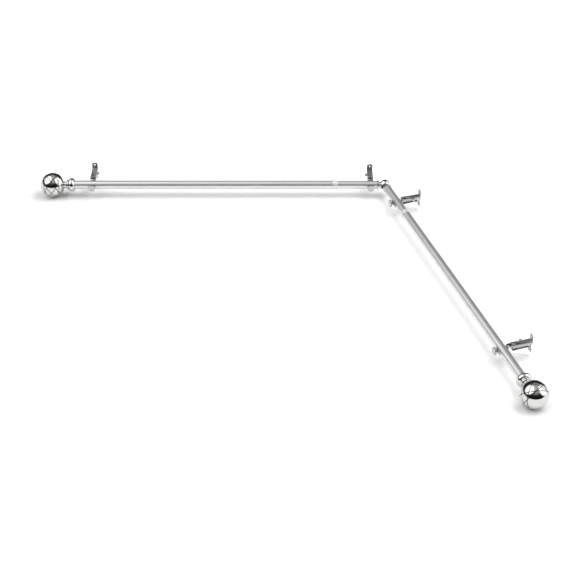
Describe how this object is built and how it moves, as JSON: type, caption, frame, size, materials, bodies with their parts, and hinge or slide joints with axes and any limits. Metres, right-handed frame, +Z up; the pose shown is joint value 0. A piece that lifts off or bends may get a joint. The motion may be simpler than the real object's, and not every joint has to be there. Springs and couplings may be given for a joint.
{
  "type": "corner curtain rod",
  "caption": "Corner curtain rod: telescoping rods joined by a swivel elbow, engraved ball finials on the ends, adjustable wall brackets with clamp screws.",
  "frame": {"origin": "middle of the wall face of the left corner bracket, at the height of the axis of both rods", "axes": "+X along the left rod towards the elbow, +Y out of the wall face into the wall, +Z up"},
  "size_m": [1.1273, 0.8897, 0.0596],
  "materials": {
    "satin_nickel": "satin nickel plate, drawn lengthwise",
    "polished_chrome": "mirror chrome plate",
    "bracket_steel": "bright nickel plate on pressed steel",
    "screw_steel": "bright zinc plate",
    "nylon": "moulded nylon"
  },
  "bodies": {
    "wall_left_end": {"wall_arm_left_end": "bracket_steel", "brace_left_end": "bracket_steel"},
    "cradle_left_end": {"cradle_arm_left_end": "bracket_steel", "lip_nut_left_end": "screw_steel", "guide_screw_left_end": "screw_steel", "guide_nut_left_end": "screw_steel"},
    "lock_left_end": {"lock_screw_left_end": "screw_steel"},
    "knob_left_end": {"projection_knob_left_end": "screw_steel"},
    "wall_left_corner": {"wall_arm_left_corner": "bracket_steel", "brace_left_corner": "bracket_steel"},
    "cradle_left_corner": {"cradle_arm_left_corner": "bracket_steel", "lip_nut_left_corner": "screw_steel", "guide_screw_left_corner": "screw_steel", "guide_nut_left_corner": "screw_steel"},
    "lock_left_corner": {"lock_screw_left_corner": "screw_steel"},
    "knob_left_corner": {"projection_knob_left_corner": "screw_steel"},
    "wall_right_corner": {"wall_arm_right_corner": "bracket_steel", "brace_right_corner": "bracket_steel"},
    "cradle_right_corner": {"cradle_arm_right_corner": "bracket_steel", "lip_nut_right_corner": "screw_steel", "guide_screw_right_corner": "screw_steel", "guide_nut_right_corner": "screw_steel"},
    "lock_right_corner": {"lock_screw_right_corner": "screw_steel"},
    "knob_right_corner": {"projection_knob_right_corner": "screw_steel"},
    "wall_right_end": {"wall_arm_right_end": "bracket_steel", "brace_right_end": "bracket_steel"},
    "cradle_right_end": {"cradle_arm_right_end": "bracket_steel", "lip_nut_right_end": "screw_steel", "guide_screw_right_end": "screw_steel", "guide_nut_right_end": "screw_steel"},
    "lock_right_end": {"lock_screw_right_end": "screw_steel"},
    "knob_right_end": {"projection_knob_right_end": "screw_steel"},
    "rod_left": {"elbow_left": "polished_chrome", "elbow_pin": "screw_steel", "elbow_nut": "screw_steel", "elbow_rivet_left": "screw_steel", "inner_tube_left": "satin_nickel", "inner_glide_left": "nylon"},
    "rod_right": {"elbow_right": "polished_chrome", "elbow_rivet_right": "screw_steel", "inner_tube_right": "satin_nickel", "inner_glide_right": "nylon"},
    "outer_left": {"outer_tube_left": "satin_nickel", "mouth_ring_left": "satin_nickel", "finial_insert_left": "nylon"},
    "finial_left": {"finial_ball_left": "polished_chrome", "finial_cup_left": "polished_chrome", "finial_stud_left": "screw_steel"},
    "outer_right": {"outer_tube_right": "satin_nickel", "mouth_ring_right": "satin_nickel", "finial_insert_right": "nylon"},
    "finial_right": {"finial_ball_right": "polished_chrome", "finial_cup_right": "polished_chrome", "finial_stud_right": "screw_steel"}
  },
  "joints": [
    {"name": "left_corner_bracket_projection", "type": "slide", "parent": "wall_left_corner", "child": "cradle_left_corner", "axis": [0, -1, 0], "range_m": [-0.0015, 0.0085]},
    {"name": "left_corner_bracket_slide", "type": "slide", "parent": "cradle_left_corner", "child": "rod_left", "axis": [1, 0, 0], "range_m": [-0.008, 0.073]},
    {"name": "left_telescope", "type": "slide", "parent": "rod_left", "child": "outer_left", "axis": [-1, 0, 0], "range_m": [-0.064, 0.4]},
    {"name": "elbow_swing", "type": "hinge", "parent": "rod_left", "child": "rod_right", "pos_m": [0.035, -0.058, 0], "axis": [0, 0, 1], "range_deg": [-17.6, 72.4]},
    {"name": "right_telescope", "type": "slide", "parent": "rod_right", "child": "outer_right", "axis": [0.3024, -0.9532, 0], "range_m": [-0.041, 0.383]},
    {"name": "left_end_bracket_slide", "type": "slide", "parent": "outer_left", "child": "cradle_left_end", "axis": [-1, 0, 0], "range_m": [-0.583, 0.034]},
    {"name": "left_end_bracket_projection", "type": "slide", "parent": "cradle_left_end", "child": "wall_left_end", "axis": [0, 1, 0], "range_m": [-0.0095, 0.0005]},
    {"name": "right_corner_bracket_slide", "type": "slide", "parent": "rod_right", "child": "cradle_right_corner", "axis": [0.3024, -0.9532, 0], "range_m": [-0.044, 0.041]},
    {"name": "right_corner_bracket_projection", "type": "slide", "parent": "cradle_right_corner", "child": "wall_right_corner", "axis": [0.9532, 0.3024, 0], "range_m": [-0.0015, 0.0085]},
    {"name": "right_end_bracket_slide", "type": "slide", "parent": "outer_right", "child": "cradle_right_end", "axis": [0.3024, -0.9532, 0], "range_m": [-0.529, 0.088]},
    {"name": "right_end_bracket_projection", "type": "slide", "parent": "cradle_right_end", "child": "wall_right_end", "axis": [0.9532, 0.3024, 0], "range_m": [-0.0095, 0.0005]},
    {"name": "left_end_lock_screw_turn", "type": "hinge", "parent": "cradle_left_end", "child": "lock_left_end", "pos_m": [-0.684, -0.07428, 0], "axis": [0, -1, 0], "range_deg": [0, 720]},
    {"name": "left_end_projection_knob_turn", "type": "hinge", "parent": "wall_left_end", "child": "knob_left_end", "pos_m": [-0.684, -0.012, 0.0052], "axis": [1, 0, 0], "range_deg": [0, 720]},
    {"name": "left_corner_lock_screw_turn", "type": "hinge", "parent": "cradle_left_corner", "child": "lock_left_corner", "pos_m": [0, -0.07428, 0], "axis": [0, -1, 0], "range_deg": [0, 720]},
    {"name": "left_corner_projection_knob_turn", "type": "hinge", "parent": "wall_left_corner", "child": "knob_left_corner", "pos_m": [0, -0.02, 0.0052], "axis": [-1, 0, 0], "range_deg": [0, 720]},
    {"name": "right_corner_lock_screw_turn", "type": "hinge", "parent": "cradle_right_corner", "child": "lock_right_corner", "pos_m": [0.04488, -0.14299, 0], "axis": [-0.9532, -0.3024, 0], "range_deg": [0, 720]},
    {"name": "right_corner_projection_knob_turn", "type": "hinge", "parent": "wall_right_corner", "child": "knob_right_corner", "pos_m": [0.09662, -0.12658, 0.0052], "axis": [0.3024, -0.9532, 0], "range_deg": [0, 720]},
    {"name": "right_end_lock_screw_turn", "type": "hinge", "parent": "cradle_right_end", "child": "lock_right_end", "pos_m": [0.2257, -0.713, 0], "axis": [-0.9532, -0.3024, 0], "range_deg": [0, 720]},
    {"name": "right_end_projection_knob_turn", "type": "hinge", "parent": "wall_right_end", "child": "knob_right_end", "pos_m": [0.28506, -0.69417, 0.0052], "axis": [-0.3024, 0.9532, 0], "range_deg": [0, 720]},
    {"name": "left_finial_turn", "type": "hinge", "parent": "outer_left", "child": "finial_left", "pos_m": [-0.734, -0.058, 0], "axis": [-1, 0, 0], "range_deg": [0, 720]},
    {"name": "right_finial_turn", "type": "hinge", "parent": "outer_right", "child": "finial_right", "pos_m": [0.27266, -0.80721, 0], "axis": [0.3024, -0.9532, 0], "range_deg": [0, 720]}
  ]
}
